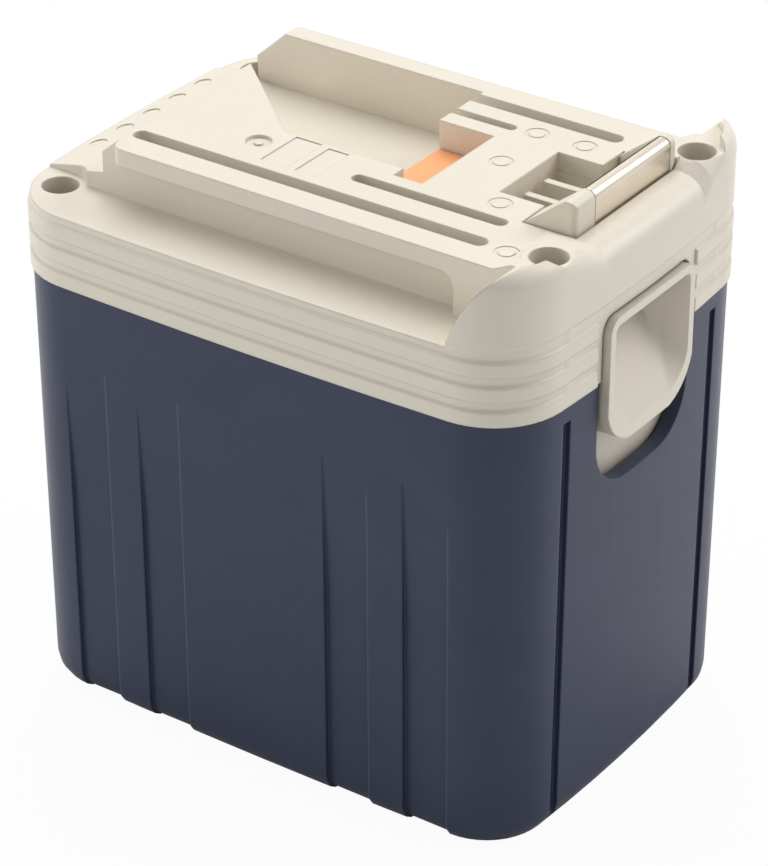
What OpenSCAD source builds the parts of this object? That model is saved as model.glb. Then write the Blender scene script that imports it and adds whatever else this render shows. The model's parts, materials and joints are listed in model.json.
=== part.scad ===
/* [Case] */
// Length of the pack over its bowed end faces
case_len = 118; // [112:0.5:130]
// Width of the pack over its bowed long sides
case_w = 85.2; // [84:0.2:96]
// Radius of the upright corners in plan
corner_r = 15; // [12:0.5:18]
// How far the end faces bow outward
end_bow = 2.3; // [1.2:0.1:3]
// How far the long sides bow outward
side_bow = 1.2; // [0.6:0.1:1.8]
// Draft of the case wall, from the joint down to the floor
case_draft = 0.6; // [0.2:0.1:1]
// How far the case is set back under the cover's skirt
case_setback = 0.5; // [0.3:0.05:0.8]
// Radius of the bottom edge
bottom_r = 4.9; // [3:0.1:5.4]
// Thickness of the case wall at the joint
case_wall = 2.9; // [2.4:0.1:3.2]
// Thickness of the case floor
floor_t = 2.6; // [2:0.1:3.4]
// Width of a flute on the long sides
flute_w = 9.6; // [7:0.1:12]
// Depth of a flute at the floor
flute_depth = 0.85; // [0.4:0.05:1]
// Height at which the flutes run out
flute_top = 76; // [60:1:84]
// Distance from the pack's ends to the outer flutes
flute_outer_in = 20.5; // [19:0.1:22]
// Distance from an inner flute to its outer neighbour
flute_pitch = 17.3; // [14:0.1:18]
// Width of the grooves in the end faces
groove_w = 2.3; // [1.6:0.1:3]
// Depth of the grooves in the end faces
groove_depth = 1; // [0.6:0.1:1.3]
// Distance from the pack's sides to the end grooves
groove_in = 17.4; // [16:0.1:19]
// Gap between the top of the end grooves and the joint
groove_head = 3.5; // [2:0.1:8]
// Height of the locating tongue on the case's top edge
tongue_h = 1.6; // [1:0.1:2]
// Thickness of the locating tongue
tongue_t = 1.1; // [0.9:0.1:1.2]

/* [Cover] */
// Height of the ledge rim above the joint
rim_h = 14.3; // [13:0.1:15]
// Height of the slide platform above the joint
platform_h = 26; // [24.5:0.1:28]
// Height of the end wall above the platform
end_wall_h = 4; // [3.2:0.1:4.5]
// Radius of the end wall's outer edge
end_wall_r = 4; // [2.5:0.1:4]
// Thickness of the end wall where it stands over the platform
end_wall_t = 2.8; // [2.4:0.1:3.4]
// Radius of the low edge in front of the latch
low_edge_r = 5; // [4:0.1:5.4]
// Thickness of the cover's side wall
cover_wall = 3; // [2.6:0.1:3.4]
// Thickness of the cover's ledge, trough and platform
cover_skin = 2.6; // [2:0.1:3]
// Height of the raised bands round the cover
rib_h = 2.8; // [2.4:0.1:3]
// Pitch of the raised bands
rib_pitch = 4.85; // [4.6:0.05:5]
// Depth of the grooves between the bands
rib_step = 0.5; // [0.3:0.05:0.7]
// Height of the soft upper edge of a band
rib_slope = 0.4; // [0.2:0.1:0.8]
// Height of the groove over the top band
rib_gap = 3; // [2.4:0.1:3.4]
// How far the block over the bands is set back from them
block_inset = 0.15; // [0:0.05:0.3]
// Half width of the plain panel round the button
panel_half = 16.8; // [16:0.1:18]

/* [Rails] */
// Distance from the pack's side to the rail's lip
ledge_w = 11.2; // [10:0.1:12]
// Depth of the channel under the rail's lip
undercut = 2.8; // [2.4:0.1:3]
// Thickness of the rail's lip
lip_t = 3.6; // [3:0.1:4.5]
// Distance from the front end of the pack to the start of the lips
lip_start = 23; // [20:0.5:26]
// Distance from the latch end of the pack to the channels' ends
channel_end = 21.6; // [20:0.1:24]
// Radius of the channels' closed ends
channel_r = 3; // [2:0.1:4]
// Radius of the lips' front corners
lip_r = 2.6; // [1.5:0.1:2.7]
// Distance from the lip's edge to the middle of the long slot
slot_in = 7.2; // [6.8:0.1:7.6]
// Width of the long slots
slot_w = 3.3; // [2.8:0.1:3.5]
// Depth of the long slots
slot_depth = 6; // [4:0.1:7]
// Width of the near blade slot
near_blade_w = 2.8; // [2.6:0.1:3]
// Width of the far blade slot
far_blade_w = 2.2; // [2.1:0.1:2.6]
// Distance from the lip's edge to the middle of the near blade slot
near_blade_in = 15.4; // [15:0.1:15.8]
// Distance from the lip's edge to the middle of the far blade slot
far_blade_in = 14.2; // [14:0.1:14.6]
// Depth of the blade slots
blade_depth = 9; // [8:0.1:10]

/* [Front ramp and trough] */
// Height of the front edge above the joint
front_edge_h = 14.5; // [14.4:0.1:15.4]
// Height of the ramp's head above the joint
ramp_head_h = 18.4; // [17.5:0.1:19]
// Distance from the front end to the riser behind the ramp
ramp_len = 16.4; // [14:0.1:18]
// Height of the riser behind the ramp
riser_h = 4.3; // [3:0.1:5]
// Length of the slope from the riser up to the platform
riser_slope = 3.9; // [3:0.1:5]
// Height of the trough's floor above the joint
trough_h = 14.4; // [14:0.1:15]
// Thickness of the trough's far wall under the rail's lip
trough_wall_t = 1.6; // [1.4:0.1:1.8]
// Distance from the near side to the near edge of the trough
trough_in = 34.4; // [33.6:0.1:35]
// Width of the trough's curved slopes
trough_slope = 15; // [12:0.1:16]
// Distance from the terminal bay to the near corner of the trough
trough_back = 20.4; // [18:0.1:24]
// Angle of the trough's slanting end
trough_angle = 41.5; // [36:0.5:46]
// Distance from the front end to the foot of the far rail
far_foot = 10.2; // [9:0.1:12]
// Height of the far rail's upright end above the ledge
far_foot_h = 4.8; // [3:0.1:6]
// Length of the slope on the far rail's end
far_slope = 7.6; // [5:0.1:9]
// Number of grip dimples along the front edge
dimples = 5; // [3:1:6]
// Pitch of the grip dimples
dimple_pitch = 8.2; // [7:0.1:9]

/* [Terminal bay] */
// Wall between the terminal bay and the latch's pocket
bay_back = 1.4; // [1:0.1:1.8]
// Length of the opening over the terminal block
bay_open = 12.2; // [10:0.1:14]
// Length of the terminal bay under the platform
bay_len = 24; // [23:0.1:24.6]
// Distance from the near blade slot to the bay's near wall
bay_near_in = 4.6; // [4.2:0.1:5]
// Distance from the far blade slot to the bay's far wall
bay_far_in = 4.9; // [4.6:0.1:5.2]
// How far the terminal block's top lies below the platform
block_drop = 5.8; // [4:0.1:7]
// Height of the terminal block
block_h = 10.2; // [9.6:0.1:11]
// Clearance round the terminal block
block_gap = 0.3; // [0.2:0.05:0.5]
// Thickness of the terminals' sheet
blade_t = 0.6; // [0.4:0.05:0.7]

/* [Latch] */
// Distance from the latch end of the pack to the latch's front face
latch_setback = 8; // [7.6:0.05:8.4]
// Height of the latch above the platform
latch_h = 6.3; // [5.8:0.1:6.8]
// Half width of the latch over its cheeks
latch_half = 16.8; // [16.4:0.1:16.9]
// How far the latch lies off the middle, towards the far side
latch_shift = 3.4; // [3:0.1:3.5]
// Half width of the latch's base in front of its cheeks
base_half = 12.8; // [12:0.1:12.9]
// Width of the near cheek
near_cheek_w = 6.4; // [5.8:0.1:7]
// Width of the far cheek
far_cheek_w = 1.6; // [1.2:0.1:2]
// Length of the cheeks
cheek_len = 10.6; // [10.2:0.1:10.8]
// Radius of the near cheek's upright corner
cheek_r = 1.2; // [0.6:0.1:2]
// Thickness of the steel cap's sheet
cap_t = 0.6; // [0.4:0.05:0.8]
// Gap between the cap and the cheeks
cap_gap = 0.2; // [0.1:0.05:0.3]
// Radius of the cap's upper edge
cap_r = 1.6; // [1.3:0.1:1.8]
// Thickness of the latch's front wall
latch_wall = 1.2; // [1:0.1:1.4]
// Running clearance of the latch in its slot
latch_gap = 0.4; // [0.3:0.05:0.6]
// Distance from the latch's front face to the back of its pocket
pocket_len = 20.6; // [20:0.1:21]
// Distance from the middle to the near edge of the pocket
pocket_near = 6.1; // [5:0.1:7]
// Distance from the middle to the far edge of the pocket
pocket_far = 13.5; // [12:0.1:14]
// Travel of the button and latch
travel = 7; // [5:0.1:7.2]

/* [Button] */
// Half width of the button's face
button_half = 14.6; // [13.6:0.1:14.8]
// Height of the button's top edge above the joint
button_top = 12.2; // [11:0.1:12.6]
// Distance from the joint down to the button's bottom edge
button_drop = 14.8; // [13:0.1:16]
// How far the button's face stands proud of the end face
button_proud = 0.7; // [0.3:0.1:1]
// Width of the curves at the button's lower corners
button_curve = 7.6; // [5:0.1:9]
// Radius of the button's corners
button_r = 3; // [2:0.1:4]
// Clearance round the button's face
button_gap = 0.4; // [0.3:0.05:0.6]
// Width of the rim round the finger cup
cup_rim = 1.6; // [1.6:0.1:2.4]
// Depth of the finger cup at its top
cup_depth = 8.4; // [6:0.1:8.8]
// Wall of the finger cup
cup_wall = 1.6; // [1.2:0.1:2]
// Half width of the thumb notch in the case
notch_half = 15.7; // [15.4:0.1:16.4]
// Depth of the thumb notch below the joint
notch_depth = 23.8; // [22.6:0.1:26]
// Radius of the thumb notch's lower corners
notch_r = 10.5; // [8:0.1:12]
// Thickness of the skirt behind the button
skirt_t = 1.8; // [1.4:0.1:2]
// Half width of the skirt behind the button
skirt_half = 17; // [16.6:0.1:17.4]

/* [Screws] */
// Diameter of the screw wells
well_d = 7.15; // [6.8:0.05:7.6]
// Distance from the front end to the front screws
front_screw_in = 8; // [7.6:0.1:9]
// Distance from the sides to the front screws
front_screw_side = 11.6; // [11:0.1:12.6]
// Distance from the latch end to the rear screws
rear_screw_in = 6.1; // [6:0.1:7]
// Distance from the button's skirt to the rear screws
rear_screw_gap = 8; // [7.8:0.1:8.4]
// Diameter of the screws' heads
screw_head_d = 6.2; // [5.6:0.1:6.4]
// Height of the screws' heads
screw_head_h = 2.4; // [1.8:0.1:3]
// Diameter of the screws' shanks
screw_d = 3; // [2.6:0.1:3.4]
// Length of the screws' shanks
screw_len = 22; // [18:0.5:26]
// Height of the screws' seats above the joint
seat_h = 8; // [6:0.1:9]
// Diameter of the screw posts
post_d = 8.6; // [8:0.1:9]

/* [Cells] */
// Room between the end cells and the pack's ends
cell_end_room = 13.25; // [13.2:0.05:13.6]
// Room between the side cells and the pack's sides
cell_side_room = 10.95; // [10.6:0.05:11.2]
// Least space between two cells of a row
cell_space = 0.5; // [0.4:0.05:0.8]
// Height of a cell with its positive end
cell_h = 42.8; // [41:0.1:44]
// Thickness of a cell's shrink sleeve
sleeve_t = 0.15; // [0.1:0.01:0.2]
// Thickness of the nickel strips
strip_t = 0.3; // [0.2:0.05:0.4]
// Width of the nickel strips
strip_w = 7; // [5:0.5:8]
// Thickness of the fibre sheets
sheet_t = 0.4; // [0.3:0.05:0.5]
// Thickness of the foam under the cells
pad_t = 1; // [0.8:0.1:1.5]
// Clearance of the cells and their pads to what is round them
cell_gap = 0.2; // [0.15:0.05:0.3]

/* [Springs and wires] */
// Mean diameter of a button spring
spring_d = 6; // [5:0.1:7]
// Diameter of a button spring's wire
spring_wire = 0.8; // [0.6:0.05:0.9]
// Curls of a button spring
spring_turns = 5; // [4:1:6]
// Distance of the button springs from the middle
spring_y = 8; // [7:0.1:9]
// Thickness of the spring seat
seat_t = 2; // [1.6:0.1:2.2]
// Diameter of the battery leads
lead_d = 2.4; // [2:0.1:2.8]
// Diameter of the sensor's wires
sensor_wire_d = 1.2; // [1:0.1:1.4]

/* [Hidden] */
$fn = 48;

// How far a cut runs past the surface that it opens
over = 1;
// Clearance between the tongue and the cover's rebate
tongue_gap = 0.15;
// Clearance that keeps faces of different pieces from meeting
hair = 0.05;

// Heights of the cell stack, from the floor up
pad_z = floor_t + hair;
bottom_sheet_z = pad_z + pad_t;
bottom_link_z = bottom_sheet_z + sheet_t;
lower_cell_z = bottom_link_z + strip_t;
lower_link_z = lower_cell_z + cell_h;
middle_sheet_z = lower_link_z + strip_t;
upper_link_z = middle_sheet_z + sheet_t;
upper_cell_z = upper_link_z + strip_t;
top_link_z = upper_cell_z + cell_h;
top_sheet_z = top_link_z + strip_t;
stack_top_z = top_sheet_z + sheet_t;
stack_room = 0.5;
joint_z = stack_top_z + stack_room;

// Heights of the cover
rim_z = joint_z + rim_h;
platform_z = joint_z + platform_h;
wall_top_z = platform_z + end_wall_h;
ledge_under_z = rim_z - cover_skin;
platform_under_z = platform_z - cover_skin;
trough_z = joint_z + trough_h;
seat_z = joint_z + seat_h;

// Half sizes in plan, and the bowed sides' radii and centres
end_x = case_len / 2;
side_y = case_w / 2;
end_arc_r = (side_y * side_y + end_bow * end_bow) / (2 * end_bow);
side_arc_r = (end_x * end_x + side_bow * side_bow) / (2 * side_bow);
end_arc_x = end_x - end_arc_r;
side_arc_y = side_y - side_arc_r;

// Centre of a corner's arc, tangent to both bowed sides
arc_span = norm([end_arc_x, side_arc_y]);
end_reach = end_arc_r - corner_r;
side_reach = side_arc_r - corner_r;
along = (end_reach * end_reach - side_reach * side_reach + arc_span * arc_span)
    / (2 * arc_span);
across = sqrt(end_reach * end_reach - along * along);
corner_x = end_arc_x + (-end_arc_x * along - side_arc_y * across) / arc_span;
corner_y = (side_arc_y * along - end_arc_x * across) / arc_span;
end_turn = atan2(corner_y, corner_x - end_arc_x);
side_turn = atan2(corner_y - side_arc_y, corner_x);

// Steps of the plan outline's arcs
end_steps = 3;
corner_steps = 10;
side_steps = 3;

// Where the case's cavity and outer face lie, measured in from the cover's outline
cavity_inset = case_setback + case_wall;

// Height at which the flutes begin to run out, as a share of their height
flute_knee = 0.62;

// Rails
lip_y = side_y - ledge_w;
wall_y = lip_y - undercut;
trough_wall_y = wall_y - trough_wall_t;
trough_near = side_y - trough_in;
slot_y = lip_y - slot_in;
near_blade_y = lip_y - near_blade_in;
far_blade_y = lip_y - far_blade_in;
slot_front_in = 20.8;
slot_rear_in = 19.4;
far_slot_rear_in = 21.4;
near_blade_rear_in = 20.6;
far_blade_end = 13.8;

// Where the latch, its pocket and the terminal bay lie along the pack
latch_x = end_x - latch_setback;
pocket_x = latch_x - pocket_len;
bay_x = pocket_x - bay_back - bay_len;
bay_near = near_blade_y - bay_near_in;
bay_far = far_blade_y - bay_far_in;
far_slot_lead = 1.4;
near_blade_lag = 0.2;
far_slot_front_x = bay_x - far_slot_lead;
near_blade_front_x = bay_x + near_blade_lag;

// The swoop at the end of each ledge, as the three points of its curve
swoop_foot = 16.7;
swoop_knee = 11.8;
swoop_head = 5.5;
swoop_knee_drop = 2.5;

// Screws, as centres in plan
front_screw_x = front_screw_in - end_x;
rear_screw_x = end_x - rear_screw_in;
front_screw_y = side_y - front_screw_side;
rear_screw_y = skirt_half + rear_screw_gap;
screw_places = [[front_screw_x, -front_screw_y], [front_screw_x, front_screw_y],
    [rear_screw_x, -rear_screw_y], [rear_screw_x, rear_screw_y]];
pilot_d = screw_d - 0.4 * spring_wire;
shank_hole_d = screw_d + 2 * tongue_gap;
front_boss_h = rim_h;
rear_boss_drop = 2.2;
rise_in = 13.6;
rise_len = 3.8;
boss_rim = 1.4;

// Latch
latch_near = latch_shift - latch_half;
latch_far = latch_shift + latch_half;
cap_near = latch_near + near_cheek_w;
cap_far = latch_far - far_cheek_w;
slot_x = latch_x + latch_gap;
cheek_x = latch_x - cheek_len;
latch_top_z = platform_z + latch_h;
latch_sink = 10;
latch_base_t = 2;
latch_base_z = platform_z - latch_sink;
cap_w = 2 * cap_t + latch_wall;
latch_rib_t = 1.6;
latch_rib_drop = 2.6;
latch_rib_shares = [0.04, 0.52];

// Widths of the slopes from the latch's near side up to the wells, and from there to the full
// height of the end wall; the slope past the latch's far side, and how far it lies before that side
low_slope_w = 4.7;
wall_slope_w = 8.5;
far_low_slope_w = 2.2;
far_slope_lead = 1.3;

// Button
button_top_z = joint_z + button_top;
button_bottom_z = joint_z - button_drop;
button_face_x = end_x + button_proud;
curve_pull = 0.22;
skirt_x = end_x - cavity_inset - end_bow * skirt_half * skirt_half / (side_y * side_y)
    - button_gap;
skirt_tail = 2.6;
cup_low = 3.2;
frame_t = 1.7;
frame_in = 12.5;
frame_x = end_x - frame_in;
frame_half = 11;
frame_drop = 12;

// Spring seat
seat_lip = 0.4;
seat_lift = 1;
seat_plate_z = joint_z + seat_lift;
spring_in = 14.6;
spring_x = latch_x - spring_in;
seat_len = spring_d + seat_lip;
seat_leg_t = 2.2;
seat_half = base_half + latch_gap + seat_leg_t + 2 * hair;

// Cells: the largest that fit, as rows of centres in plan, the outer rows set in the middle
// row's gaps
row_share = 0.906;
sleeve_d = min((case_len - 2 * cell_end_room - 3 * cell_space) / 4,
    (case_w - 2 * cell_side_room) / (2 * row_share + 1));
cell_d = sleeve_d - 2 * sleeve_t;
cell_pitch = (case_len - 2 * cell_end_room - sleeve_d) / 3;
row_pitch = (case_w - 2 * cell_side_room - sleeve_d) / 2;
row_of_four = [for (i = [0:3]) [(i - 1.5) * cell_pitch, 0]];
near_row = [for (i = [-1:1]) [i * cell_pitch, -row_pitch]];
far_row = [for (i = [-1:1]) [i * cell_pitch, row_pitch]];
cell_places = concat(near_row, row_of_four, far_row);
cell_r = cell_d / 2;
sleeve_r = cell_r + sleeve_t;
cell_button_d = 10;
cell_button_h = 0.6;
cell_ring_d = 15;
cell_ring_t = 0.3;

// Colours
cream = "#e6dccb";
navy = "#3c4452";
orange = "#ff9f68";
steel = "#d4d4d2";
brass = "#c9a760";
fibre = "#d9cdb0";
foam = "#2c2d30";

// Which way up a cell stands, so that the strips join unlike ends
function upright(i) = i % 2 == 0;

// Points of the plan outline in one quarter, set in by a distance
function quarter(inset) = concat(
    [for (i = [0:end_steps - 1]) let (a = end_turn * i / end_steps)
        [end_arc_x + (end_arc_r - inset) * cos(a), (end_arc_r - inset) * sin(a)]],
    [for (i = [0:corner_steps]) let (a = end_turn + (side_turn - end_turn) * i / corner_steps)
        [corner_x + (corner_r - inset) * cos(a), corner_y + (corner_r - inset) * sin(a)]],
    [for (i = [1:side_steps]) let (a = side_turn + (90 - side_turn) * i / side_steps)
        [(side_arc_r - inset) * cos(a), side_arc_y + (side_arc_r - inset) * sin(a)]]);

// Points of the whole plan outline, set in by a distance
function outline(inset) = let (q = quarter(inset), n = len(q)) concat(
    q,
    [for (i = [n - 2:-1:0]) [-q[i][0], q[i][1]]],
    [for (i = [1:n - 1]) [-q[i][0], -q[i][1]]],
    [for (i = [n - 2:-1:1]) [q[i][0], -q[i][1]]]);

// Points of a curve drawn by three points
function curve(a, b, c, steps) = [for (i = [0:steps]) let (t = i / steps)
    (1 - t) * (1 - t) * a + 2 * t * (1 - t) * b + t * t * c];

// Points of an arc about a centre
function arc(centre, r, from, to, steps) = [for (i = [0:steps])
    let (a = from + (to - from) * i / steps) centre + r * [cos(a), sin(a)]];

// A solid between rings of the plan outline; each ring is [height, inset]
module loft(rings) {
    n = len(outline(0));
    points = [for (ring = rings) for (p = outline(ring[1])) [p[0], p[1], ring[0]]];
    walls = [for (k = [0:len(rings) - 2]) for (i = [0:n - 1])
        let (j = (i + 1) % n) for (face = [
            [k * n + i, (k + 1) * n + i, k * n + j],
            [k * n + j, (k + 1) * n + i, (k + 1) * n + j]]) face];
    floor_face = [for (i = [0:n - 1]) i];
    top_face = [for (i = [n - 1:-1:0]) (len(rings) - 1) * n + i];
    polyhedron(points, concat([floor_face], walls, [top_face]));
}

// A prism of the plan outline
module slab(inset, low, high) {
    translate([0, 0, low]) linear_extrude(high - low) polygon(outline(inset));
}

// A box given by its lowest and highest corners
module block(low, high) {
    translate(low) cube(high - low);
}

// A profile in X and Z, drawn out along Y
module along_y(points, low, high) {
    translate([0, high, 0]) rotate([90, 0, 0]) linear_extrude(high - low) polygon(points);
}

// A slot with round ends along X, cut down from a height
module slot(from_x, to_x, y, w, low, high) {
    translate([0, y, low]) linear_extrude(high - low) union() {
        translate([from_x + w / 2, 0]) circle(d = w);
        translate([to_x - w / 2, 0]) circle(d = w);
        translate([from_x + w / 2, -w / 2]) square([to_x - from_x - w, w]);
    }
}

// The same child on both long sides
module both_sides() {
    children();
    mirror([0, 1, 0]) children();
}

// A tube swept along points, its section a polygon
module tube(path, r, sides) {
    last = len(path) - 1;
    function heading(i) = let (a = path[max(i - 1, 0)], b = path[min(i + 1, last)])
        (b - a) / norm(b - a);
    function side_of(i) = let (h = heading(i), c = cross(h, [0, 0, 1]),
        d = norm(c) > 0.2 ? c : cross(h, [1, 0, 0])) d / norm(d);
    points = [for (i = [0:last]) let (s = side_of(i), u = cross(s, heading(i)))
        for (k = [0:sides - 1]) path[i] + r * (cos(360 * k / sides) * s
            + sin(360 * k / sides) * u)];
    walls = [for (i = [0:last - 1]) for (k = [0:sides - 1]) let (m = (k + 1) % sides)
        for (face = [
            [i * sides + k, (i + 1) * sides + k, i * sides + m],
            [i * sides + m, (i + 1) * sides + k, (i + 1) * sides + m]]) face];
    first_face = [for (k = [0:sides - 1]) k];
    last_face = [for (k = [sides - 1:-1:0]) last * sides + k];
    polyhedron(points, concat([first_face], walls, [last_face]));
}

// Lower case

// Rings of the case's outer skin: the bottom edge's round, then the drafted wall
bottom_steps = 4;
case_rings = concat(
    [for (i = [0:bottom_steps]) let (a = 90 * i / bottom_steps)
        [bottom_r * (1 - cos(a)), case_setback + case_draft + bottom_r * (1 - sin(a))]],
    [[joint_z, case_setback]]);

module flute(x) {
    // Where the case's skin lies here, at the floor, at the knee and at the flute's top
    skin_y = side_y - case_setback - side_bow * x * x / (end_x * end_x);
    knee_z = flute_knee * flute_top;
    foot_y = skin_y - case_draft - flute_depth;
    knee_y = skin_y - case_draft * (1 - knee_z / joint_z) - flute_depth;
    head_y = skin_y - case_draft * (1 - flute_top / joint_z);
    // The recess follows the round of the bottom edge
    foot = [for (i = [0:bottom_steps]) let (a = 90 * i / bottom_steps)
        [foot_y - bottom_r * (1 - sin(a)), bottom_r * (1 - cos(a))]];
    translate([x - flute_w / 2, 0, 0]) rotate([90, 0, 90]) linear_extrude(flute_w)
        polygon(concat([[foot[0][0], -over]], foot, [[knee_y, knee_z], [head_y, flute_top],
            [head_y + over, flute_top], [head_y + over, -over]]));
}

module end_groove(y) {
    foot_x = end_x - case_setback - case_draft - groove_depth
        - end_bow * y * y / (side_y * side_y);
    lean = atan(case_draft / joint_z);
    translate([foot_x, y - groove_w / 2, 0]) rotate([0, lean, 0])
        translate([0, 0, -over])
            cube([groove_depth + 2 * over, groove_w, joint_z - groove_head + over]);
}

// The thumb notch, as an outline in Y and Z
function notch_points(half, depth, r) = concat(
    [[half, joint_z + tongue_h + over]],
    [for (p = arc([half - r, joint_z - depth + r], r, 0, -90, 8)) p],
    [for (p = arc([r - half, joint_z - depth + r], r, -90, -180, 8)) p],
    [[-half, joint_z + tongue_h + over]]);

module along_x(points, low, high) {
    translate([low, 0, 0]) rotate([90, 0, 90]) linear_extrude(high - low) polygon(points);
}

module case_posts() {
    for (p = screw_places) translate([p[0], p[1], floor_t - hair])
        cylinder(d = post_d, h = joint_z - floor_t);
}

module lower_case() color(navy) {
    difference() {
        union() {
            difference() {
                loft(case_rings);
                slab(cavity_inset, floor_t, joint_z + over);
                both_sides() for (s = [-1, 1]) for (i = [0, 1])
                    flute(s * (end_x - flute_outer_in - i * flute_pitch));
                for (m = [0, 1]) mirror([m, 0, 0]) {
                    end_groove(side_y - groove_in);
                    end_groove(groove_in - side_y);
                }
            }
            difference() {
                slab(cavity_inset - tongue_t, joint_z - over, joint_z + tongue_h);
                slab(cavity_inset, joint_z - 2 * over, joint_z + tongue_h + over);
            }
            intersection() {
                case_posts();
                slab(cavity_inset - over, 0, joint_z);
            }
        }
        along_x(notch_points(notch_half, notch_depth, notch_r), skirt_x, end_x + over);
        for (p = screw_places) translate([p[0], p[1], seat_z - screw_len - over])
            cylinder(d = pilot_d, h = screw_len + over);
    }
}

// Upper cover

// Rings of the cover's outer skin: three raised bands, the block and its rounded top
rib_top = 2 * rib_pitch + rib_h + rib_gap;
round_steps = 6;
cover_rings = concat(
    [for (k = [0:2]) let (s = joint_z + k * rib_pitch)
        for (ring = [[s, 0], [s + rib_h, 0], [s + rib_h + rib_slope, rib_step],
            [s + (k < 2 ? rib_pitch : rib_h + rib_gap - rib_slope), rib_step]]) ring],
    [[joint_z + rib_top, block_inset]],
    [for (i = [0:round_steps]) let (a = 90 * i / round_steps)
        [wall_top_z - end_wall_r * (1 - sin(a)), block_inset + end_wall_r * (1 - cos(a))]]);

// The ledge on one side, with the swoop that ends it
module ledge_cut() {
    low = -end_x - over;
    sky = wall_top_z + over;
    profile = concat([[low, sky], [low, rim_z]],
        curve([end_x - swoop_foot, rim_z], [end_x - swoop_knee, wall_top_z - swoop_knee_drop],
            [end_x - swoop_head, wall_top_z + hair], 8),
        [[end_x - swoop_head, sky]]);
    along_y(profile, lip_y, side_y + over);
}

// The channel under one rail's lip, and the open corner in front of the lip
module channel_cut() {
    rear = end_x - channel_end;
    roof = platform_z - lip_t;
    profile = concat([[-end_x - over, rim_z], [rear, rim_z]],
        arc([rear - channel_r, roof - channel_r], channel_r, 0, 90, 6),
        [[-end_x - over, roof]]);
    along_y(profile, wall_y, lip_y + over);
}

// The open corner in front of the near rail's lip
module lip_corner_cut() {
    front = lip_start - end_x;
    sky = wall_top_z + over;
    difference() {
        block([-end_x - over, -lip_y - over, rim_z], [front, -wall_y, sky]);
        translate([front, lip_r - lip_y, rim_z - over])
            cylinder(r = lip_r, h = sky - rim_z + 3 * over);
    }
}

// Everything above the platform but the end wall and the rise up to the screws
module sky_cut() {
    sky = wall_top_z + over;
    rise_x = end_x - rise_in;
    rise_z = wall_top_z - rear_boss_drop;
    intersection() {
        along_y([[-end_x - over, platform_z], [rise_x, platform_z], [rise_x + rise_len, rise_z],
            [end_x + over, rise_z], [end_x + over, sky], [-end_x - over, sky]],
            -side_y - over, side_y + over);
        union() {
            slab(end_wall_t - hair, platform_z - hair, sky + over);
            block([-end_x - over, -side_y - over, platform_z - hair],
                [end_x - swoop_knee, side_y + over, sky + over]);
        }
    }
}

// Where the end face lies at a distance from the middle
function face_x(y) = end_arc_x + sqrt(pow(end_arc_r - block_inset, 2) - y * y);

// The end wall at one place, as a profile in X and Z with a rounded outer edge
function wall_profile(y, top, r) = concat([[slot_x - over, rim_z], [slot_x - over, top]],
    arc([face_x(y) - r, top - r], r, 90, 0, round_steps), [[face_x(y), rim_z]]);

// What the rounded edge leaves away between two places, each [Y, top, radius]
module edge_blend(from, to) {
    difference() {
        block([slot_x, from[0], platform_z - low_edge_r],
            [end_x + over, to[0] + hair, wall_top_z + over]);
        hull() {
            along_y(wall_profile(from[0], from[1], from[2]), from[0] - hair, from[0]);
            along_y(wall_profile(to[0], to[1], to[2]), to[0] + hair, to[0] + 2 * hair);
        }
    }
}

// The low edge in front of the latch, and the slopes from it up to both ends of the wall
module low_edge_cut() {
    near = latch_near - latch_gap;
    far = latch_far + latch_gap;
    well_z = wall_top_z - rear_boss_drop;
    near_low = [near, platform_z, low_edge_r];
    near_mid = [near - low_slope_w, well_z, low_edge_r];
    near_high = [near - low_slope_w - wall_slope_w, wall_top_z, end_wall_r];
    far_low = [far - far_slope_lead, platform_z, low_edge_r];
    far_mid = [far_low[0] + far_low_slope_w, well_z, low_edge_r];
    far_high = [far + 0.75 * wall_slope_w, wall_top_z, end_wall_r];
    sky = wall_top_z + over;
    // The far slope is only in front of the latch; beside it stands a plain step
    for (cut = [[rear_screw_x - rise_in, slot_x, far, far],
        [slot_x - hair, end_x + over, far_low[0], far_mid[0]]])
        along_x([[near, platform_z], [cut[2], platform_z], [cut[3], well_z],
            [far_high[0], wall_top_z], [far_high[0], sky], [near_high[0], sky],
            [near_high[0], wall_top_z], [near_mid[0], well_z]], cut[0], cut[1]);
    difference() {
        block([slot_x, near, platform_z - low_edge_r], [end_x + over, far_low[0], sky]);
        loft(concat([[joint_z, block_inset]], [for (i = [0:round_steps])
            let (a = 90 * i / round_steps) [platform_z - low_edge_r * (1 - sin(a)),
                block_inset + low_edge_r * (1 - cos(a))]]));
    }
    edge_blend(near_high, near_mid);
    edge_blend(near_mid, near_low);
    edge_blend(far_low, far_mid);
    edge_blend(far_mid, far_high);
}

// The front ramp, its riser and the slope up to the platform; the far rail's own end
module ramp_cut() {
    riser_x = ramp_len - end_x;
    foot_x = far_foot - end_x;
    head_z = joint_z + ramp_head_h;
    edge_z = joint_z + front_edge_h;
    sky = wall_top_z + over;
    along_y([[-end_x - over, sky], [-end_x - over, edge_z], [-end_x, edge_z], [riser_x, head_z],
        [riser_x + hair, head_z + riser_h], [riser_x + riser_slope, platform_z],
        [riser_x + riser_slope, sky]], -side_y, trough_wall_y - hair);
    along_y([[-end_x - over, sky], [-end_x - over, edge_z], [foot_x, rim_z],
        [foot_x + hair, rim_z + far_foot_h], [foot_x + far_slope, platform_z],
        [foot_x + far_slope, sky]], trough_wall_y - 2 * hair, side_y);
}

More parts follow.
